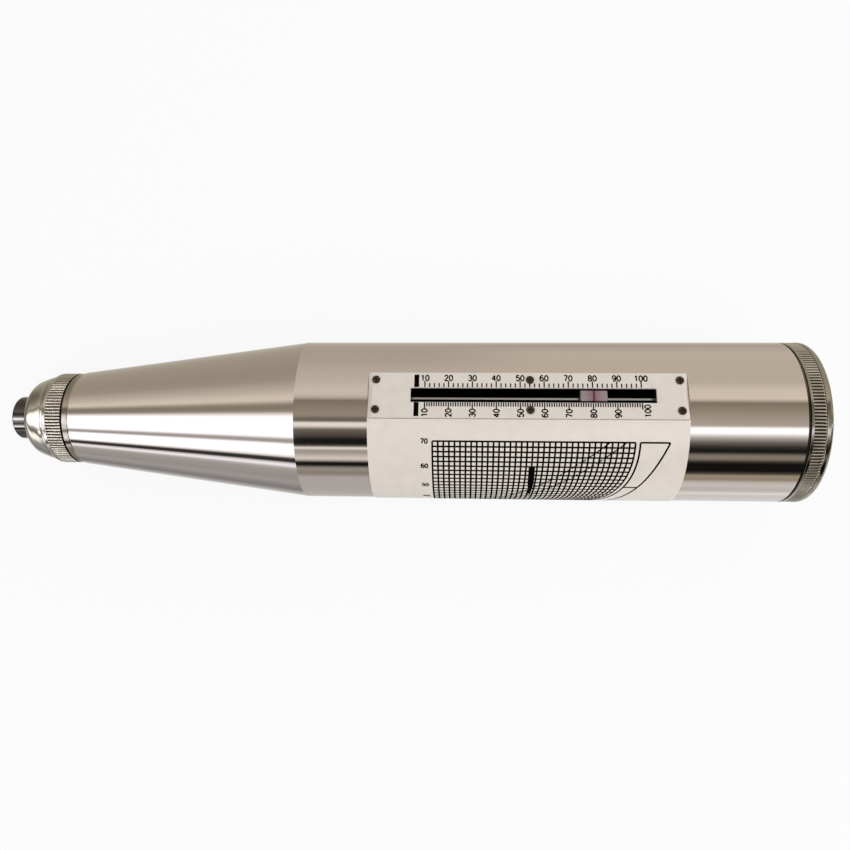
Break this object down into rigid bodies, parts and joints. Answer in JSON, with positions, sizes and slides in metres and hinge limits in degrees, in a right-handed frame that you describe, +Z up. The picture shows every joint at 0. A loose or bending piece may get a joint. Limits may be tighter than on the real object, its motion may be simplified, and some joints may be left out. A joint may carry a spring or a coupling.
{
  "type": "rebound hammer",
  "caption": "Cylindrical spring-driven test hammer with a conical nose, a sliding impact plunger, a scale window with a rider on a rod, a push button and a knurled rear cover.",
  "frame": {"origin": "below the middle of the tool's length, on the plane that the tube touches when the tool lies with its scale window up", "axes": "+X along the tool from the plunger to the rear cover, +Y away from the chart label, +Z up out of the scale window"},
  "size_m": [0.2732, 0.0542, 0.0541],
  "materials": {
    "turned_steel": "polished",
    "plunger_steel": "polished",
    "tool_steel": "ground",
    "spring_steel": "oiled",
    "cap_steel": "polished",
    "disk_alloy": "satin",
    "felt": "matt",
    "panel_plastic": "satin",
    "label_film": "satin",
    "dark_steel": "oiled",
    "clear_plastic": "gloss",
    "button_steel": "polished",
    "bush_black": "matt"
  },
  "bodies": {
    "casing": {"housing": "turned_steel", "nose_cap": "cap_steel", "felt_washer": "felt", "split_ring_upper": "tool_steel", "split_ring_lower": "tool_steel", "guide_sleeve": "tool_steel", "impact_spring": "spring_steel", "return_spring": "spring_steel", "rear_cover": "turned_steel", "trip_screw": "dark_steel", "trip_screw_nut": "dark_steel", "scale_panel": "panel_plastic", "panel_screws": "dark_steel", "chart_label": "label_film", "rider_rod": "tool_steel", "rod_holders": "tool_steel", "button_bush": "bush_black", "button_spring": "spring_steel"},
    "carriage": {"impact_plunger": "plunger_steel", "buffer_spring": "spring_steel", "guide_bar": "tool_steel", "guide_disk": "disk_alloy", "pawl_pin": "tool_steel", "pawl_spring": "spring_steel"},
    "mass": {"hammer_mass": "tool_steel"},
    "pawl": {"pawl": "tool_steel"},
    "rider": {"rider_block": "clear_plastic", "rider_leaf": "spring_steel"},
    "button": {"push_button": "button_steel", "button_latch": "tool_steel"}
  },
  "joints": [
    {"name": "plunger_travel", "type": "slide", "parent": "casing", "child": "carriage", "axis": [-1, 0, 0], "range_m": [0, 0.075], "deforming": ["return_spring"]},
    {"name": "hammer_slide", "type": "slide", "parent": "carriage", "child": "mass", "axis": [1, 0, 0], "range_m": [0, 0.075]},
    {"name": "pawl_swing", "type": "hinge", "parent": "carriage", "child": "pawl", "pos_m": [0.0955, -0.01, 0.027], "axis": [0, 0, -1], "range_deg": [0, 9]},
    {"name": "rider_slide", "type": "slide", "parent": "casing", "child": "rider", "axis": [1, 0, 0], "range_m": [-0.0528, 0.0147]},
    {"name": "button_press", "type": "slide", "parent": "casing", "child": "button", "axis": [0, -0.6428, 0.766], "range_m": [0, 0.0022], "stiffness_N_per_m": 500, "deforming": ["button_spring"]}
  ],
  "couplings": [
    {"joint": "hammer_slide", "follows": "plunger_travel", "ratio": 1},
    {"joint": "pawl_swing", "follows": "plunger_travel", "rad_per_m": 2.0944}
  ]
}
